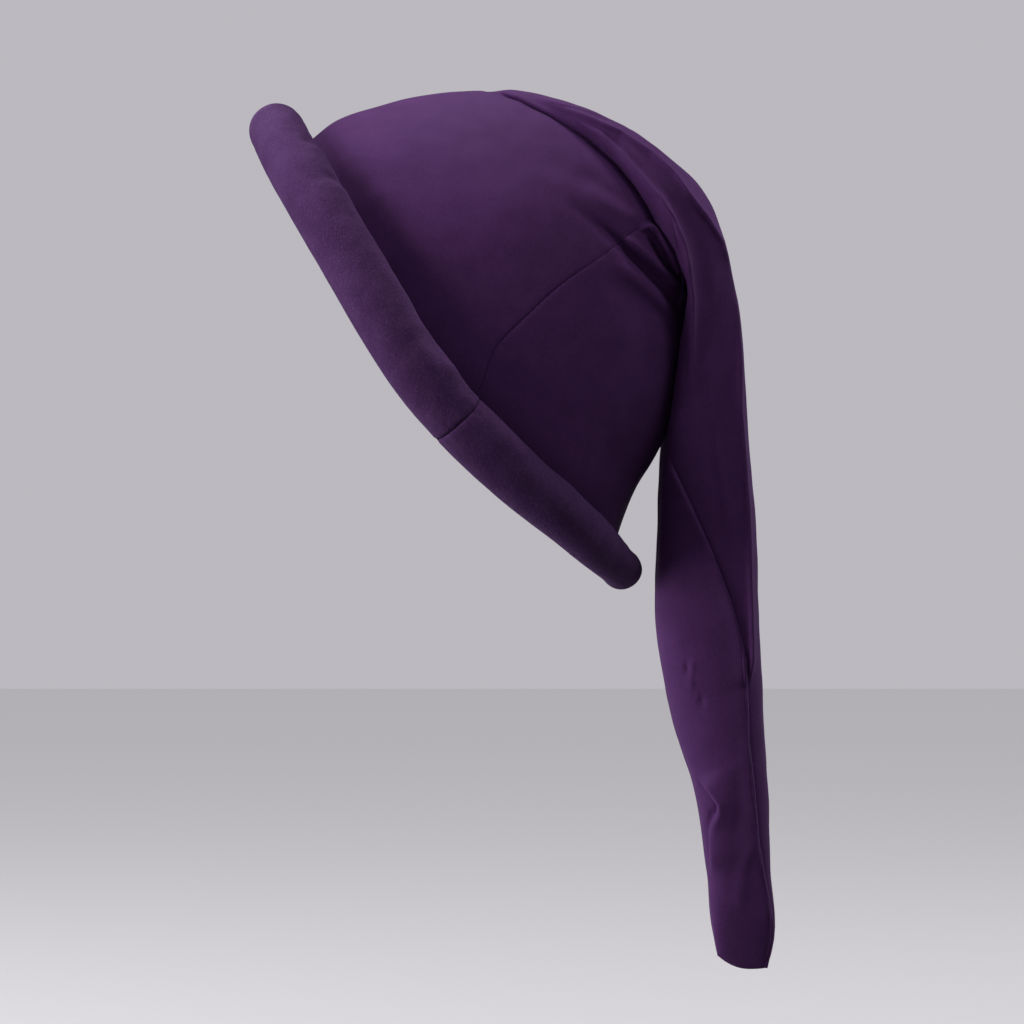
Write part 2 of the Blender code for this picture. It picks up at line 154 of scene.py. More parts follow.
clothFolds = [
    # crown: soft ridge that leads into the finger fold, and the shade above it
    ("soft", ((37, 75), (56, 64), (73, 56), (84, 51)), 1.0, (5.0, 3.0), 0.5, 0.1, 3.5, 8.2, 0.6),
    ("soft", ((47, 78), (64, 67), (80, 56)), -0.9, (4.0, 2.5), 0.5, 0.1, 3.5, 8.2, 0.5),
    # the long valley into the tail's mouth
    ("soft", ((49, 61), (61, 52.5), (68, 46.5), (74.5, 40.5), (81, 33.5), (88, 26.5), (94.5, 19.5),
              (97, 14.5)), -4.4, (2.4, 3.0), 0.5, 0.0, 3.5, 8.3, 0.5),
    # strip between that valley and the slit, the slit, and the finger fold round it
    ("soft", ((73, 46), (83.5, 37.5), (91, 30.5), (96, 27)), 2.8, (1.8, 1.6), 0.2, 0.0, 4.0, 8.3, 0.3),
    ("soft", ((83, 47), (85.5, 43.5), (88.7, 38), (92.2, 32.5), (96.8, 28)),
     -3.4, (1.5, 1.0), 0.25, 0.0, 4.0, 8.4, 0.2),
    ("soft", ((79, 48), (84.5, 49.8), (89, 46.8), (92, 42), (94.5, 37), (97, 31)),
     4.4, (1.4, 1.6), 0.25, 0.0, 6.3, 9.9, 0.4),
    # lower ridge and valley
    ("soft", ((66, 36.5), (77.5, 29.5), (86, 22.5), (94.5, 14)), 2.2, (3.2, 2.2), 0.4, 0.0, 3.5, 8.3, 0.7),
    ("soft", ((57.5, 30), (71, 24), (81, 18), (89.5, 12), (93, 8)),
     -1.1, (4.6, 3.2), 0.4, 0.0, 3.0, 8.3, 0.5),
    ("soft", ((62, 8), (80, 5), (91, -2)), 0.7, (6.0, 4.0), 0.4, 0.1, 3.0, 8.3, 0.5),
    # the crease, where the crown goes in under the tail's edge
    ("crease", ((21, 106), (30.5, 103), (43.3, 96.4), (61, 85.7), (72.7, 75), (79.4, 66.5),
                (85, 58), (88.3, 51.5), (92.8, 46), (96.4, 39.5), (98.9, 32.3), (98.6, 23.1), (97.2, 13)),
     3.6, (0.9, 2.0), 0.04, 0.1, 6.0, 11.5, 0.6),
    # tail's root: first crest, along the band next to the crease
    ("crest", ridgePaths["first"], 1.0, (1.8, 2.2), 0.1, 0.3, 8.0, 17.5, 0.6),
    ("crest", ridgePaths["first"], 3.0, (0.8, 0.9), 0.15, 0.25, 8.0, 17.5, 0.6),
    # second crest, near the outer edge, down to the lower tail
    ("edge", ridgePaths["second"], 3.4, (6.0, 3.0), 0.08, 0.05, 7.9, 20.4, 0.7),
    ("crest", ridgePaths["second"], 2.4, (0.8, 0.7), 0.08, 0.05, 7.9, 20.4, 0.6),
    # hollow between the crests, and the one outside the second
    ("soft", ((60, 88), (79, 76), (92, 62), (101, 49), (107, 35), (110, 18), (111, -5)),
     -0.4, (2.4, 3.4), 0.25, 0.4, 8.3, 16.8, 0.6),
    ("soft", ((96, 73), (106.5, 61.5), (113.5, 49), (118.5, 37.5), (122, 19), (124, -6)),
     -0.8, (1.8, 1.8), 0.25, 0.4, 9.0, 17.0, 0.6),
    # fine gathers along the top, between the second crest and the outer edge
    ("crest", ((36, 104.5), (50, 99.5), (64, 94.8), (76, 89.5), (88, 81), (96, 73)),
     2.6, (0.7, 0.7), 0.2, 0.3, 7.9, 13.0, 0.6),
    ("crest", ((40, 105), (54, 100.5), (68, 95.5), (80, 89), (90, 81.5)),
     2.4, (0.7, 0.7), 0.2, 0.3, 7.9, 13.0, 0.6),
    # soft lengthwise folds of the upper tail
    ("soft", ((106, 44), (109.5, 37.5), (111.3, 27.5), (111.7, 14)),
     0.6, (2.2, 2.6), 0.4, 0.5, 12.0, 16.5, 0.6),
    ("soft", ((107.5, 6), (108, -23), (111.5, -52), (115, -75)), -1.2, (3.0, 3.0), 0.3, 0.4, 15.0, 18.8, 0.6),
    ("soft", ((112, -22), (114.5, -48), (118, -72), (121, -92)), 1.2, (3.0, 2.4), 0.4, 0.4, 15.5, 19.0, 0.5),
    # groove outside the second crest
    ("soft", ((124.4, 2), (124.8, -23), (126.4, -44), (127.8, -65), (129, -86), (129.8, -115.5),
              (130.2, -140)), -0.7, (1.1, 1.1), 0.2, 0.2, 14.5, 20.4, 0.6),
    # flap that lies over the middle band, sewn along its edge
    ("step", ((88, -38.2), (94.4, -50.8), (100.4, -63.4), (105.2, -74.3), (110.5, -86.1), (114.7, -97),
              (118.9, -107.9), (122.2, -119.7), (124.7, -131.5), (125.6, -143.2)),
     2.0, (12.0, 4.0), 0.25, 0.02, 15.6, 20.4, 0.0),
    # lower crease down to the tip
    ("step", ((125.6, -143.2), (126, -156), (126.4, -168), (127.9, -181), (129.2, -195.3), (130.6, -209.6),
              (132.6, -220.3), (135.1, -233.1), (137, -246)),
     2.2, (4.0, 3.0), 0.04, 0.1, 19.4, 23.6, 0.4),
    ("soft", ((129.4, -206), (124.3, -220), (122.2, -241)), 0.6, (2.0, 2.4), 0.2, 0.3, 20.5, 23.5, 0.4),
    ("soft", ((121.5, -176), (123, -196), (120.5, -216)), -0.6, (3.4, 3.0), 0.3, 0.3, 19.8, 23.0, 0.4),
    # left edge turned in, with the back layer showing beside it
    ("step", ((111.3, -222), (111, -206), (111.5, -201.5), (114.2, -196.5), (114.2, -193), (111, -188),
              (106, -181)), 3.6, (9.0, 5.0), 0.2, 0.15, 20.2, 23.4, 0.0),
    ("soft", ((112.5, -194.5), (110.5, -201), (110.5, -208)), -1.0, (1.6, 1.4), 0.1, 0.4, 20.2, 23.0, 0.0),
    # small dents of the lower tail
    ("soft", ((99.5, -134), (102.1, -137.5)), -1.0, (1.3, 1.1), 0.3, 0.2, 18.8, 21.0, 0.0),
    ("soft", ((102, -136.5), (104.5, -133.5)), 0.7, (1.1, 1.1), 0.2, 0.4, 18.8, 21.0, 0.0),
    ("soft", ((102.9, -138), (102.1, -145)), 0.6, (1.1, 1.4), 0.2, 0.4, 18.8, 21.0, 0.0),
    ("soft", ((105.3, -148.5), (108.8, -150)), -0.8, (1.8, 1.6), 0.3, 0.3, 19.0, 21.2, 0.0),
    # small folded end at the tip
    ("step", ((135.5, -247), (136.4, -251), (137, -254)), 0.8, (2.0, 1.6), 0.2, 0.2, 22.4, 24.0, 0.0),
]

# how each kind of fold is shaped across its path: widths are in millimetres or in the fold's own widths
foldForm = {
    "middleFade": 0.008,  # metres from the hat's middle plane over which the folds start on each side
    "sectionFade": 0.5,  # sections over which each of them starts and ends
    "sideways": 6,  # how much more a fold stands out sideways than straight out from the cloth
    "crest": {"roundness": 0.3},
    # the edge falls away slowly towards the crown and steeply on its outer side, which is the path's left
    "edge": {"roundness": 0.15, "outerWidth": 0.7, "outerDrop": 0.8, "dropWidth": 11},
    # a lip on the left of the path, and a valley on its right
    "crease": {"softness": 0.4, "lipHeight": 0.5, "lipWidth": 2.2},
    # cloth that lies over other cloth on the right of the path, and a hollow on its left
    "step": {"softness": 0.3, "hollowDepth": 0.4, "hollowWidth": 1.6},
}

# the fine relief, in metres; a place along the cloth is a section's number, with how many sections it takes
clothSurface = {
    "broadWaves": (0.00045, 26, 3.1),  # height, waves per metre, and a seed
    "smallWaves": (0.00014, 90, 7.7),
    "calmSections": (2, 1.5),  # over which the waves start at the hem and end at the tip
    "seamStarts": (1, 2.5),
    "seamHidden": (8, 0.4),  # by the tail's mouth
    "seamShownAgain": (17.2, 0.6),
    "seamDip": (0.0004, 0.0004),  # depth and width
    "seamRidge": (0.00008, 0.0024, 0.0013),  # height, distance from the seam, and width
    "pucker": (0.00010, 0.0035),  # height, and how far it runs out from the seam
    "puckerSpacing": 0.0062,
    "puckerShift": 40,  # radians per metre across, so those of the two seams differ
}

# the mesh is finer beside the sharper folds, at the tail's mouth and root, at bends and beside the seams
meshCrowding = {
    "leastSoftFold": 1.5,  # millimetres; a lower soft fold needs no finer mesh
    "crests": (3.2, 1.4),  # how much finer, and its reach in millimetres
    "otherFolds": (2.2, 2.2),
    "mouth": (1.2, 0.020),  # how much finer, and its reach in metres
    "mouthCentre": (0.086, 0.036),
    "mouthLast": 9,  # the section where it ends
    "root": 0.5,
    "rootSections": ((6, 8, 15, 18), (0, 1, 1, 0.3)),
    "sideReach": 0.01,  # metres from the middle plane over which mouth and root start
    "bend": 0.008,  # metres of cloth that one radian of bend counts for
    "seam": (1.2, 0.003),
    "rowWeights": (1, 3, 5, 6, 5, 3, 1),  # of neighbouring rows, so the columns run smoothly
}


def smoothCurve(knots, values, at):
    slopes = np.gradient(values, knots)
    i = np.clip(np.searchsorted(knots, at, side="right") - 1, 0, len(knots) - 2)
    width = knots[i + 1] - knots[i]
    t = (at - knots[i]) / width
    start = (1 + 2 * t) * (1 - t) ** 2 * values[i]
    end = t * t * (3 - 2 * t) * values[i + 1]
    return start + end + t * (1 - t) * width * ((1 - t) * slopes[i] - t * slopes[i + 1])


def smoothStep(t):
    t = np.clip(t, 0, 1)
    return t * t * (3 - 2 * t)


def rising(value, start, length):
    return smoothStep((value - start) / length)


# the sections' places along the cloth: halfway between the front points' path and the side points' path
sectionTable = np.array(clothForm["sections"], float)
frontSteps = np.linalg.norm(np.diff(sectionTable[:, 0:2], axis=0), axis=1)
sideSteps = np.linalg.norm(np.diff(sectionTable[:, 2:5], axis=0), axis=1)
sectionPlaces = np.append(0, np.cumsum((frontSteps + sideSteps) / 2))
section = {name: sectionTable[:, i] for i, name in enumerate(clothForm["sectionColumns"])}

ringStep = 0.75  # degrees
ringAngles = np.radians(np.arange(-180, 180 + ringStep / 2, ringStep))
normalStep = 0.0005  # along the cloth, to find which way it faces
brimTilt = math.radians(clothForm["brimTilt"])
brimUp = np.array((0, math.sin(brimTilt), math.cos(brimTilt)))
rollAngles = np.array(rollForm["angle"], float)


def hemRises(angles):
    return smoothCurve(rollAngles, np.array(rollForm["rise"]), np.abs(np.degrees(angles)))


def sectionNumbers(places):
    return np.interp(places, sectionPlaces, range(len(sectionPlaces)))[:, None]


def ringPoints(places, angles=ringAngles):
    # the closed curves of the bare cloth: the first few waves round each, through its four points
    at = {name: smoothCurve(sectionPlaces, column, places) for name, column in section.items()}
    known = np.radians((0, clothForm["sideAngle"], clothForm["cornerAngle"], 180))
    parts = ("front", "side", "corner", "back")
    fixed = np.stack([np.stack([at[part + "Y"], at[part + "Z"]]) for part in parts])
    even = np.linalg.solve(np.cos(np.outer(known, range(4))), fixed.reshape(4, -1)).reshape(4, 2, -1)
    odd = np.linalg.solve(np.sin(np.outer(known[1:3], (1, 2))), np.stack([at["sideX"], at["cornerX"]]))
    across = np.sin(np.outer(angles, (1, 2))) @ odd
    upright = np.einsum("ak,kcn->nac", np.cos(np.outer(angles, range(4))), even)
    ring = np.concatenate((across.T[:, :, None], upright), axis=2)
    # the hem rises and sinks with the roll, and the crown above it less and less
    share = np.interp(places, sectionPlaces[2:6], clothForm["hemFollows"])
    return ring + share[:, None, None] * hemRises(angles)[None, :, None] * brimUp


def ringNormals(rings, along):
    # outwards from closed curves, whose last point is the first again
    around = np.roll(rings[..., :-1, :], -1, axis=-2) - np.roll(rings[..., :-1, :], 1, axis=-2)
    around = np.concatenate((around, around[..., :1, :]), axis=-2)
    normals = np.cross(around, along)
    return normals / np.linalg.norm(normals, axis=-1)[..., None]


def pathDistance(seen, path):
    # distance from a path, positive to the left of its direction, and the share of its length
    corners = np.array(path, float)
    runs = np.linalg.norm(np.diff(corners, axis=0), axis=1)
    before = np.append(0, np.cumsum(runs)) / runs.sum()
    best = np.full(seen.shape[:-1], np.inf)
    signed = np.zeros(seen.shape[:-1])
    share = np.zeros(seen.shape[:-1])
    for i, (start, end) in enumerate(zip(corners, corners[1:])):
        run = end - start
        t = np.clip((seen - start) @ run / (run @ run), 0, 1)
        offset = seen - start - t[..., None] * run
        distance = np.hypot(offset[..., 0], offset[..., 1])
        nearer = distance < best
        side = np.sign(run[0] * offset[..., 1] - run[1] * offset[..., 0])
        best = np.where(nearer, distance, best)
        signed = np.where(nearer, side * distance, signed)
        share = np.where(nearer, before[i] + t * (before[i + 1] - before[i]), share)
    return signed, share


def asSeen(points):
    # where the camera sees each point, or its mirror image on the unseen side, in millimetres on the
    # middle plane
    aim = photoView["aim"]
    nearer = photoView["distance"] / (photoView["distance"] - np.abs(points[..., 0]))
    return np.stack([((points[..., k] - aim[k]) * nearer + aim[k]) * 1000 for k in (1, 2)], axis=-1)


def sharpness(points, sectionNumber):
    # how much finer the mesh is beside the sharper folds
    seen = asSeen(points)
    total = np.zeros(points.shape[:-1])
    for row in clothFolds:
        fold = dict(zip(foldColumns, row))
        if fold["kind"] == "soft" and abs(fold["height"]) < meshCrowding["leastSoftFold"]:
            continue
        distance = pathDistance(seen, fold["path"])[0]
        inside = (sectionNumber > fold["first"]) & (sectionNumber < fold["last"])
        most, reach = meshCrowding["crests" if fold["kind"] == "crest" else "otherFolds"]
        total = np.maximum(total, most * np.exp(-((distance / reach) ** 2)) * inside)
    return total * smoothStep(points[..., 0] / foldForm["middleFade"])


def crestShape(distance, roundness):
    return np.exp(roundness - np.sqrt(distance**2 + roundness**2))


def acrossFold(kind, distance, width):
    if kind == "soft":
        return np.exp(-((distance / width) ** 2))
    form = foldForm[kind]
    if kind == "crest":
        return crestShape(distance / width, form["roundness"])
    if kind == "edge":
        reach = np.where(distance > 0, form["outerWidth"] * width, width)
        drop = form["outerDrop"] * smoothStep(distance / form["dropWidth"])
        return crestShape(distance / reach, form["roundness"]) - drop
    near = np.exp(-np.abs(distance) / width)
    if kind == "crease":
        over = 0.5 + 0.5 * np.tanh(distance / form["softness"])
        lip = form["lipHeight"] * np.exp(-np.abs(distance) / (form["lipWidth"] * width))
        return over * lip - (1 - over) * near
    over = 0.5 - 0.5 * np.tanh(distance / form["softness"])
    return over * near - form["hollowDepth"] * (1 - over) * np.exp(-np.abs(distance) / form["hollowWidth"])


def foldHeights(points, sectionNumber):
    seen = asSeen(points)
    leftSide = smoothStep(points[..., 0] / foldForm["middleFade"])
    rightSide = smoothStep(-points[..., 0] / foldForm["middleFade"])
    fade = foldForm["sectionFade"]
    total = np.zeros(points.shape[:-1])
    for row in clothFolds:
        fold = dict(zip(foldColumns, row))
        acts = rising(sectionNumber, fold["first"], fade) * smoothStep((fold["last"] - sectionNumber) / fade)
        distance, share = pathDistance(seen, fold["path"])
        width = fold["width"][0] + (fold["width"][1] - fold["width"][0]) * share
        ends = smoothStep(share / fold["fadeIn"])
        # without a fadeOut the fold runs on past its path's end
        if fold["fadeOut"] > 0:
            ends = ends * smoothStep((1 - share) / fold["fadeOut"])
        shape = acrossFold(fold["kind"], distance, width)
        total += fold["height"] * shape * ends * acts * (leftSide + fold["rightShare"] * rightSide)
    return total / 1000


def foldDirections(points, outward):
    # a fold stands out mostly sideways, so it stays on its path as the photograph shows it
    directions = outward.copy()
    directions[..., 0] += foldForm["sideways"] * np.clip(points[..., 0] / foldForm["middleFade"], -1, 1)
    return directions / np.linalg.norm(directions, axis=-1)[..., None]


def waves(points, height, perMetre, seed):
    # doubled, because the noise lies mostly between minus and plus a half
    flat = points.reshape(-1, 3) * perMetre + seed
    return np.array([noise.noise(Vector(p)) for p in flat]).reshape(points.shape[:-1]) * height * 2


def rowPlaces():
    # close together where the folds are fine
    samples = 4001
    fine = np.linspace(0, sectionPlaces[-1], samples)
    middles = (fine[1:] + fine[:-1]) / 2
    count = np.append(0, np.cumsum(1 / np.interp(middles, sectionPlaces, section["spacing"])))
    return np.interp(np.linspace(0, count[-1], clothForm["rows"] + 1), count, fine)


def sheetMesh(name, points, uv):
    # a grid whose points are moved to their places, row by row
    rows, columns = points.shape[0] - 1, points.shape[1] - 1
    bm = bmesh.new()
    grid = bmesh.ops.create_grid(bm, x_segments=columns, y_segments=rows, size=0.5)
    layer = bm.loops.layers.uv.new("cloth")
    for vertex in grid["verts"]:
        column = round((vertex.co.x + 0.5) * columns)
        row = round((vertex.co.y + 0.5) * rows)
        vertex.co = points[row, column]
        for loop in vertex.link_loops:
            loop[layer].uv = uv[row, column]
    for face in bm.faces:
        face.smooth = True
    mesh = bpy.data.meshes.new(name)
    bm.to_mesh(mesh)
    bm.free()
    return mesh


def addPiece(name, mesh, material, node):
    piece = bpy.data.objects.new(name, mesh)
    bpy.context.scene.collection.objects.link(piece)
    mesh.materials.append(material)
    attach(piece, "root")
    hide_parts(node)
    return piece


def cellDensity(places, rings):
    # how much of the mesh each stretch of each ring gets
    edges = np.diff(rings, axis=1)
    lengths = np.linalg.norm(edges, axis=2)
    headings = edges / lengths[:, :, None]
    turns = np.arccos(np.clip(np.sum(headings * np.roll(headings, 1, axis=1), axis=2), -1, 1))
    middles = (rings[:, 1:] + rings[:, :-1]) / 2
    mouthY, mouthZ = meshCrowding["mouthCentre"]
    mouthMost, mouthReach = meshCrowding["mouth"]
    fromMouth = (middles[:, :, 1] - mouthY) ** 2 + (middles[:, :, 2] - mouthZ) ** 2
    beforeTail = (places < sectionPlaces[meshCrowding["mouthLast"]])[:, None]
    atMouth = mouthMost * np.exp(-fromMouth / mouthReach**2) * beforeTail
    rootSections, rootShares = meshCrowding["rootSections"]
    atRoot = meshCrowding["root"] * np.interp(places, sectionPlaces[list(rootSections)], rootShares)[:, None]
    crowding = 1 + np.clip(middles[:, :, 0] / meshCrowding["sideReach"], 0, 1) * (atMouth + atRoot)
    crowding += sharpness(middles, sectionNumbers(places))
    density = lengths * crowding + meshCrowding["bend"] * (turns + np.roll(turns, -1, axis=1)) / 2
    weights = np.array(meshCrowding["rowWeights"], float)
    beyond = len(weights) // 2
    padded = np.pad(density, ((beyond, beyond), (0, 0)), mode="edge")
    return sum(weight * padded[k:k + len(density)] for k, weight in enumerate(weights)) / weights.sum()


def panelGrid(isFront):
    # the panel's points, seam distances and cloth coordinates, in rows from the hem
    places = rowPlaces()
    rings = ringPoints(places)
    ahead = ringPoints(np.minimum(places + normalStep, sectionPlaces[-1]))
    behind = ringPoints(np.maximum(places - normalStep, 0))
    normals = ringNormals(rings, ahead - behind)
    lengths = np.linalg.norm(np.diff(rings, axis=1), axis=2)
    density = cellDensity(places, rings)
    degrees = np.degrees(ringAngles)
    leftSeams = smoothCurve(sectionPlaces, section["leftSeam"], places)
    rightSeams = smoothCurve(sectionPlaces, section["rightSeam"], places)
    gap = clothForm["seamGap"]
    most, reach = meshCrowding["seam"]
    points, outward, around, fromEnds = [], [], [], []
    for r in range(len(places)):
        length = np.append(0, np.cumsum(lengths[r]))
        left = np.interp(leftSeams[r], degrees, length)
        right = np.interp(rightSeams[r], degrees, length)
        ring, normal, stretch = rings[r], normals[r], density[r]
        if isFront:
            ends = (right + gap, left - gap)
        else:
            # the back panel crosses the middle of the back, where the ring starts and ends
            ends = (left + gap, right - gap + length[-1])
            ring = np.vstack((ring, ring[1:]))
            normal = np.vstack((normal, normal[1:]))
            stretch = np.append(stretch, stretch)
            length = np.append(length, length[1:] + length[-1])
        middle = (length[1:] + length[:-1]) / 2
        nearSeam = sum(np.exp(-np.abs(middle - end) / reach) for end in ends)
        stretched = np.append(0, np.cumsum(stretch * (1 + most * nearSeam)))
        wanted = np.linspace(*np.interp(ends, length, stretched), clothForm["columns"] + 1)
        points.append(np.column_stack([np.interp(wanted, stretched, ring[:, k]) for k in range(3)]))
        outward.append(np.column_stack([np.interp(wanted, stretched, normal[:, k]) for k in range(3)]))
        at = np.interp(wanted, stretched, length)
        around.append(at - length[-1] / 2)
        fromEnds.append(np.minimum(at - ends[0], ends[1] - at))
    points, outward = np.array(points), np.array(outward)
    outward /= np.linalg.norm(outward, axis=2)[:, :, None]
    uv = np.stack((np.array(around), np.broadcast_to(places[:, None], points.shape[:2])), axis=2)
    return places, points, outward, np.array(fromEnds), uv


def clothRelief(places, points, number, fromSeam):
    # broad and small unevenness of worn cloth, calmer at the hem and at the tip
    hemFade, tipFade = clothSurface["calmSections"]
    calm = smoothStep(number / hemFade) * smoothStep((len(sectionPlaces) - 1 - number) / tipFade)
    height = calm * waves(points, *clothSurface["broadWaves"])
    height += calm * waves(points, *clothSurface["smallWaves"])
    # the seam draws its edges in, with a low ridge and small puckers beside it
    shownAgain = rising(number, *clothSurface["seamShownAgain"])
    hidden = rising(number, *clothSurface["seamHidden"]) * (1 - shownAgain)
    shown = rising(number, *clothSurface["seamStarts"]) * (1 - hidden)
    dip, dipWidth = clothSurface["seamDip"]
    height -= shown * dip * np.exp(-((fromSeam / dipWidth) ** 2))
    ridge, ridgePlace, ridgeWidth = clothSurface["seamRidge"]
    height += shown * ridge * np.exp(-(((fromSeam - ridgePlace) / ridgeWidth) ** 2))
    pucker, puckerReach = clothSurface["pucker"]
    along = places[:, None] * math.tau / clothSurface["puckerSpacing"]
    gathered = np.sin(along + clothSurface["puckerShift"] * points[..., 0])
    return height + shown * pucker * gathered * np.exp(-fromSeam / puckerReach)


def clothPanel(name, isFront, material, node):
    places, points, outward, fromSeam, uv = panelGrid(isFront)
    number = sectionNumbers(places) * np.ones(points.shape[1])
    folded = points + foldDirections(points, outward) * foldHeights(points, number)[..., None]
    relief = clothRelief(places, points, number, fromSeam)
    mesh = sheetMesh(name, folded + outward * relief[..., None], uv)
    piece = addPiece(name, mesh, material, node)
    wall = piece.modifiers.new("wall", "SOLIDIFY")
    wall.thickness = clothForm["thickness"]
    wall.offset = 0
    print("stage:", name, len(piece.data.polygons), "faces on one side")
    return piece


def hemLine():
    # the hem's outer face, at each whole degree from the nape round
    angles = np.radians(np.arange(-180, 181, 1.0))
    place = sectionPlaces[1] * clothForm["rollPlace"]
    ring = ringPoints(np.array([place]), angles)[0]
    ahead = ringPoints(np.array([place + normalStep]), angles)[0]
    return ring + ringNormals(ring, ahead - ring) * clothForm["thickness"] / 2


def rollMiddle(hem, fromBrow, radius):
    # the roll's middle line beside the hem, with the ways outwards and upwards at each of its rings
    hemAt = []
    for step in (-1, 0, 1):
        fromNape = (fromBrow + step + 180) % 360
        hemAt.append(np.column_stack([np.interp(fromNape, range(361), hem[:, k]) for k in range(3)]))
    middles, outs, ups = [], [], []
    for before, here, after, r in zip(*hemAt, radius):
        heading = Vector(after - before)
        out = heading.cross(Vector(brimUp)).normalized()
        up = out.cross(heading).normalized()
        middles.append(here + np.array(out) * (r + rollForm["gapToHem"]))
        outs.append(np.array(out))
        ups.append(np.array(up))
    return np.array(middles), np.array(outs), np.array(ups)


def stuffedRoll(name, first, last, material, node):
    hem = hemLine()
    halfGap = math.degrees(rollForm["halfGap"] / np.max(hem[:, 0]))
    t = np.linspace(0, 1, rollForm["steps"] + 1)
    crowded = t - rollForm["crowding"] * np.sin(math.tau * t) / math.tau
    angles = first + halfGap + crowded * (last - first - 2 * halfGap)
    turns = np.radians(np.linspace(0, 360, rollForm["columns"] + 1))
    fromBrow = (angles + 180) % 360 - 180
    radius = smoothCurve(rollAngles, np.array(rollForm["radius"]), np.abs(fromBrow))
    middles, outs, ups = rollMiddle(hem, fromBrow, radius)
    along = np.append(0, np.cumsum(np.linalg.norm(np.diff(middles, axis=0), axis=1)))
    fromEnds = np.minimum(along, along[-1] - along)
    outwards, upwards = np.cos(turns)[None, :], np.sin(turns)[None, :]
    spoke = outs[:, None] * outwards[:, :, None] + ups[:, None] * upwards[:, :, None]
    skin = np.broadcast_to(radius[:, None], (len(angles), len(turns))).copy()
    bare = middles[:, None] + spoke * skin[:, :, None]
    loose = np.clip(outwards + 1, 0, 1)
    lumps = waves(bare, *rollForm["lumps"]) + waves(bare, *rollForm["smallLumps"])
    lower = rollForm["lowerLumps"]
    towardsCrown = lower + (1 - lower) * rising(upwards, *rollForm["crownSide"])
    skin += lumps * loose * towardsCrown - rollForm["inset"]
    for angle, turn, depth, lengthwise, across in rollForm["dents"]:
        if first <= angle <= last:
            alongDistance = along[:, None] - np.interp(angle, angles, along)
            turnDistance = np.radians((np.degrees(turns)[None, :] - turn + 180) % 360 - 180)
            roundDistance = turnDistance * rollForm["meanRadius"]
            skin -= depth * np.exp(-((alongDistance / lengthwise) ** 2 + (roundDistance / across) ** 2))
    # the butt seams pull the velour in, with small gathers that run out along the roll
    seamDepth, seamWidth = rollForm["buttSeam"]
    skin -= (seamDepth * np.exp(-((fromEnds / seamWidth) ** 2)))[:, None]
    puckerDepth, puckerReach = rollForm["pucker"]
    uneven = 0.8 * np.sin(turns * 3)
    gathers = np.sin(turns * rollForm["puckerCount"] + uneven)[None, :]
    skin += puckerDepth * gathers * np.exp(-fromEnds / puckerReach)[:, None] * loose
    # against the hem the roll stays where it is sewn
    sewn = rising(-outwards, *rollForm["sewnPart"])
    skin = skin * (1 - sewn) + np.minimum(skin, radius[:, None]) * sewn
    skin += rollForm["sewnReach"] * rising(-outwards, *rollForm["reachPart"])
    points = middles[:, None] + spoke * skin[:, :, None]
    aroundRoll = np.broadcast_to(turns[None, :] * rollForm["meanRadius"], skin.shape)
    alongRoll = np.broadcast_to(along[:, None], skin.shape)
    mesh = sheetMesh(name, points, np.stack((aroundRoll, alongRoll), axis=2))
    # the grid's two long edges become one, and each end is closed
    weldDistance = 0.00002
    bm = bmesh.new()
    bm.from_mesh(mesh)
    bmesh.ops.remove_doubles(bm, verts=bm.verts, dist=weldDistance)
    bmesh.ops.holes_fill(bm, edges=[edge for edge in bm.edges if edge.is_boundary], sides=0)
    bmesh.ops.recalc_face_normals(bm, faces=bm.faces)
    bm.to_mesh(mesh)
    bm.free()
    piece = addPiece(name, mesh, material, node)
    print("stage:", name, len(mesh.polygons), "faces")


# the two cloths: a noise has its scale, detail and roughness, a spread has what it takes from a noise and
# what that becomes, share is its part in the colour, and a bump has its strength and its height in metres
jerseyLook = {
    "dark": (0.088, 0.029, 0.126),
    "light": (0.120, 0.041, 0.168),
    "roughness": 0.68,
    "grainRoughness": (0.62, 0.76),
    "specular": 0.06,
    "sheen": 0.12,
    "sheenRoughness": 0.45,
    "sheenTint": (0.70, 0.40, 0.95),
    "mottle": {"noise": (120, 4, 0.6), "spread": (0.36, 0.64, 0.22, 0.78), "share": 0.55},
    "grain": {"noise": (900, 3, 0.6), "spread": (0.3, 0.7), "share": 0.45, "bump": (0.06, 0.0004)},
    "ribSpacing": 0.0009,
    "courseSpacing": 0.0007,
    "knitBump": (0.15, 0.00012),
    "waveTurn": 20,  # radians that a wave texture of scale 1 turns through in each metre
}
velourLook = {
    "dark": (0.082, 0.030, 0.116),
    "light": (0.185, 0.084, 0.255),
    "roughness": 0.85,
    "specular": 0.05,
    "sheen": 0.14,
    "sheenRoughness": 0.45,
    "sheenTint": (0.72, 0.50, 0.95),
    "pile": {"noise": (1500, 3, 0.65), "spread": (0.50, 0.64), "share": 0.36, "bump": (0.8, 0.0006)},
    "patches": {"noise": (70, 3, 0.55), "spread": (0.35, 0.65), "share": 0.2},
    "nap": {"noise": (260, 3, 0.6), "bump": (0.25, 0.0012)},
}


def newNode(material, kind, **settings):
    node = material.node_tree.nodes.new(kind)
    for name, value in settings.items():
        setattr(node, name, value)
    return node


def noiseOn(material, coordinates, scale, detail, roughness):
    texture = newNode(material, "ShaderNodeTexNoise")
    texture.inputs["Scale"].default_value = scale
    texture.inputs["Detail"].default_value = detail
    texture.inputs["Roughness"].default_value = roughness
    material.node_tree.links.new(coordinates, texture.inputs["Vector"])
    return texture.outputs["Fac"]


def spread(material, value, low, high, toLow=0.0, toHigh=1.0):
    node = newNode(material, "ShaderNodeMapRange", interpolation_type="SMOOTHSTEP")
    for name, number in zip(("From Min", "From Max", "To Min", "To Max"), (low, high, toLow, toHigh)):
        node.inputs[name].default_value = number
    material.node_tree.links.new(value, node.inputs["Value"])
    return node.outputs["Result"]


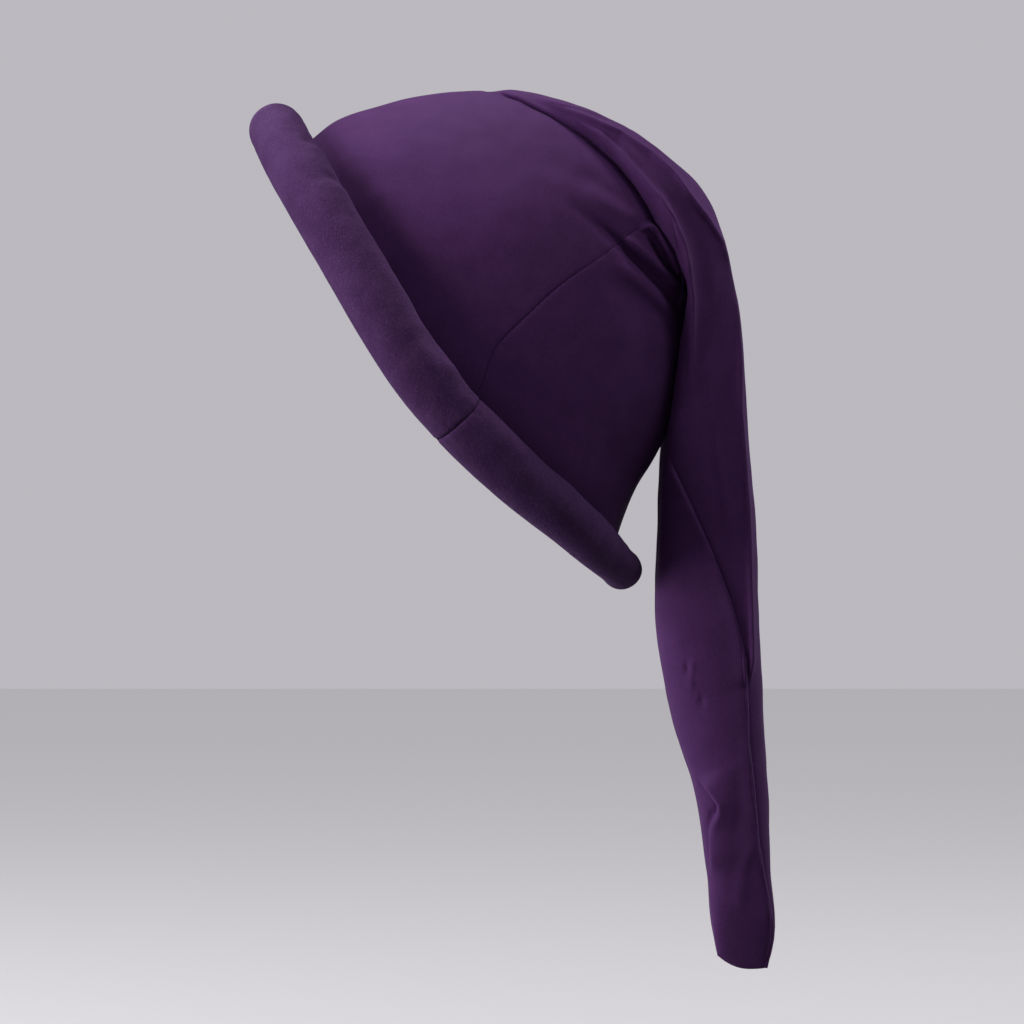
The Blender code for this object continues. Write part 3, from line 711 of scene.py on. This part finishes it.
def arithmetic(material, operation, first, second):
    node = newNode(material, "ShaderNodeMath", operation=operation)
    for socket, value in zip(node.inputs, (first, second)):
        if isinstance(value, (int, float)):
            socket.default_value = value
        else:
            material.node_tree.links.new(value, socket)
    return node.outputs[0]


def addShares(material, first, firstShare, second, secondShare):
    firstPart = arithmetic(material, "MULTIPLY", first, firstShare)
    secondPart = arithmetic(material, "MULTIPLY", second, secondShare)
    return arithmetic(material, "ADD", firstPart, secondPart)


def mixColours(material, share, first, second):
    node = newNode(material, "ShaderNodeMix", data_type="RGBA")
    material.node_tree.links.new(share, node.inputs["Factor"])
    for name, value in (("A", first), ("B", second)):
        socket = [s for s in node.inputs if s.name == name and s.type == "RGBA"][0]
        socket.default_value = (*value, 1)
    return [s for s in node.outputs if s.type == "RGBA"][0]


def bump(material, height, strength, distance, under=None):
    node = newNode(material, "ShaderNodeBump")
    node.inputs["Strength"].default_value = strength
    node.inputs["Distance"].default_value = distance
    material.node_tree.links.new(height, node.inputs["Height"])
    if under is not None:
        material.node_tree.links.new(under, node.inputs["Normal"])
    return node.outputs["Normal"]


def startMaterial(name, look):
    material = bpy.data.materials.new(name)
    material.use_nodes = True
    shader = material.node_tree.nodes["Principled BSDF"]
    shader.inputs["Metallic"].default_value = 0
    shader.inputs["Roughness"].default_value = look["roughness"]
    shader.inputs["Specular IOR Level"].default_value = look["specular"]
    shader.inputs["Sheen Weight"].default_value = look["sheen"]
    shader.inputs["Sheen Roughness"].default_value = look["sheenRoughness"]
    shader.inputs["Sheen Tint"].default_value = (*look["sheenTint"], 1)
    return material, shader


def bandsOn(material, coordinates, direction, spacing):
    bands = newNode(material, "ShaderNodeTexWave", wave_type="BANDS", bands_direction=direction)
    bands.wave_profile = "SIN"
    bands.inputs["Scale"].default_value = math.tau / jerseyLook["waveTurn"] / spacing
    material.node_tree.links.new(coordinates, bands.inputs["Vector"])
    return bands.outputs["Fac"]


def jerseyMaterial():
    material, shader = startMaterial("jersey_cloth", jerseyLook)
    links = material.node_tree.links
    place = newNode(material, "ShaderNodeTexCoord").outputs["Object"]
    onCloth = newNode(material, "ShaderNodeUVMap", uv_map="cloth").outputs["UV"]
    mottleLook, grainLook = jerseyLook["mottle"], jerseyLook["grain"]
    mottle = spread(material, noiseOn(material, place, *mottleLook["noise"]), *mottleLook["spread"])
    grain = spread(material, noiseOn(material, place, *grainLook["noise"]), *grainLook["spread"])
    share = addShares(material, mottle, mottleLook["share"], grain, grainLook["share"])
    colour = mixColours(material, share, jerseyLook["dark"], jerseyLook["light"])
    links.new(colour, shader.inputs["Base Color"])
    links.new(spread(material, grain, 0, 1, *jerseyLook["grainRoughness"]), shader.inputs["Roughness"])
    # knit: ribs along the cloth and courses across it
    ribs = bandsOn(material, onCloth, "X", jerseyLook["ribSpacing"])
    courses = bandsOn(material, onCloth, "Y", jerseyLook["courseSpacing"])
    knit = arithmetic(material, "MULTIPLY", ribs, courses)
    knitted = bump(material, knit, *jerseyLook["knitBump"])
    links.new(bump(material, grain, *grainLook["bump"], knitted), shader.inputs["Normal"])
    return material


def velourMaterial():
    material, shader = startMaterial("velour_roll", velourLook)
    links = material.node_tree.links
    place = newNode(material, "ShaderNodeTexCoord").outputs["Object"]
    pileLook, patchLook, napLook = velourLook["pile"], velourLook["patches"], velourLook["nap"]
    pile = noiseOn(material, place, *pileLook["noise"])
    flecks = spread(material, pile, *pileLook["spread"])
    patches = spread(material, noiseOn(material, place, *patchLook["noise"]), *patchLook["spread"])
    share = addShares(material, flecks, pileLook["share"], patches, patchLook["share"])
    colour = mixColours(material, share, velourLook["dark"], velourLook["light"])
    links.new(colour, shader.inputs["Base Color"])
    nap = bump(material, noiseOn(material, place, *napLook["noise"]), *napLook["bump"])
    links.new(bump(material, pile, *pileLook["bump"], nap), shader.inputs["Normal"])
    return material


def makeCamera():
    data = bpy.data.cameras.new("photoCamera")
    seenWidth = photoView["imagePixels"] * photoView["metresPerPixel"]
    data.sensor_width = photoView["sensorWidth"]
    data.lens = photoView["sensorWidth"] * photoView["distance"] / seenWidth
    camera = bpy.data.objects.new("photoCamera", data)
    aim = photoView["aim"]
    camera.location = (aim[0] + photoView["distance"], aim[1], aim[2])
    camera.rotation_euler = (math.radians(90), 0, math.radians(90))
    bpy.context.scene.collection.objects.link(camera)
    bpy.context.scene.camera = camera
    bpy.context.scene.view_settings.view_transform = "Standard"


studio = {
    "floorHeight": -0.33,
    "floorSize": 9.0,
    "floorColour": (0.78, 0.76, 0.80),
    "floorRoughness": 0.9,
    "floorSpecular": 0.1,
    "backdrop": (0.50, 0.485, 0.52),
    "fill": 0.095,
    "lightAim": (0.03, 0.03, 0),
    # the top light is a soft sun and the over light is above the tail; two lights from the front fall past
    # the roll on the crown, one light is above the brow, the back light is behind the tail, and the edge
    # light picks out the roll's edge
    "lights": {
        "topLight": {"place": (-0.23, 0.00, 0.92), "softness": 20, "power": 1.55},
        "overLight": {"place": (0.60, 0.60, 1.35), "size": 0.45, "power": 4.0},
        "frontLight": {"place": (0.80, -1.30, 0.25), "size": 0.5, "power": 5.6},
        "lowLight": {"place": (0.60, -1.25, -0.29), "size": 0.5, "power": 5.2},
        "browLight": {"place": (0.10, -1.30, 0.90), "size": 0.6, "power": 8.5},
        "backLight": {"place": (-0.50, 1.40, 0.10), "size": 0.6, "power": 2.5},
        "edgeLight": {"place": (-0.20, -1.50, -0.05), "size": 0.6, "power": 3.5},
    },
}


def makeFloor():
    mesh = bpy.data.meshes.new("floor")
    bm = bmesh.new()
    bmesh.ops.create_grid(bm, x_segments=1, y_segments=1, size=studio["floorSize"] / 2)
    bmesh.ops.translate(bm, verts=bm.verts, vec=(0, 0, studio["floorHeight"]))
    bm.to_mesh(mesh)
    bm.free()
    floor = bpy.data.objects.new("floor", mesh)
    bpy.context.scene.collection.objects.link(floor)
    material = bpy.data.materials.new("pale_floor")
    material.use_nodes = True
    shader = material.node_tree.nodes["Principled BSDF"]
    shader.inputs["Base Color"].default_value = (*studio["floorColour"], 1)
    shader.inputs["Roughness"].default_value = studio["floorRoughness"]
    shader.inputs["Specular IOR Level"].default_value = studio["floorSpecular"]
    mesh.materials.append(material)
    # like a black flag under the hat: the floor throws no light back up on it
    floor.visible_diffuse = False


def makeBackdrop():
    world = bpy.data.worlds.new("studio")
    world.use_nodes = True
    nodes, links = world.node_tree.nodes, world.node_tree.links
    # the pale backdrop is seen, and a weaker fill is what lights the hat
    fill = nodes["Background"]
    fill.inputs["Color"].default_value = (1, 1, 1, 1)
    fill.inputs["Strength"].default_value = studio["fill"]
    backdrop = nodes.new("ShaderNodeBackground")
    backdrop.inputs["Color"].default_value = (*studio["backdrop"], 1)
    mix = nodes.new("ShaderNodeMixShader")
    links.new(nodes.new("ShaderNodeLightPath").outputs["Is Camera Ray"], mix.inputs["Fac"])
    links.new(fill.outputs[0], mix.inputs[1])
    links.new(backdrop.outputs[0], mix.inputs[2])
    links.new(mix.outputs[0], nodes["World Output"].inputs["Surface"])
    bpy.context.scene.world = world


def addLight(name, settings):
    isSun = "softness" in settings
    data = bpy.data.lights.new(name, "SUN" if isSun else "AREA")
    data.energy = settings["power"]
    if isSun:
        data.angle = math.radians(settings["softness"])
    else:
        data.shape = "DISK"
        data.size = settings["size"]
    light = bpy.data.objects.new(name, data)
    light.location = settings["place"]
    towardsHat = Vector(studio["lightAim"]) - Vector(settings["place"])
    light.rotation_euler = towardsHat.to_track_quat("-Z", "Y").to_euler()
    bpy.context.scene.collection.objects.link(light)


makeCamera()
makeFloor()
makeBackdrop()
for name, settings in studio["lights"].items():
    addLight(name, settings)
jersey = jerseyMaterial()
velour = velourMaterial()
print("stage: studio and materials made")

frontPanel = clothPanel("front_panel_cloth", True, jersey, "front_panel")
backPanel = clothPanel("back_panel_cloth", False, jersey, "back_panel")
stuffedRoll("brim_front_roll", -rollForm["seam"], rollForm["seam"], velour, "brim_front")
stuffedRoll("brim_back_roll", rollForm["seam"], 360 - rollForm["seam"], velour, "brim_back")
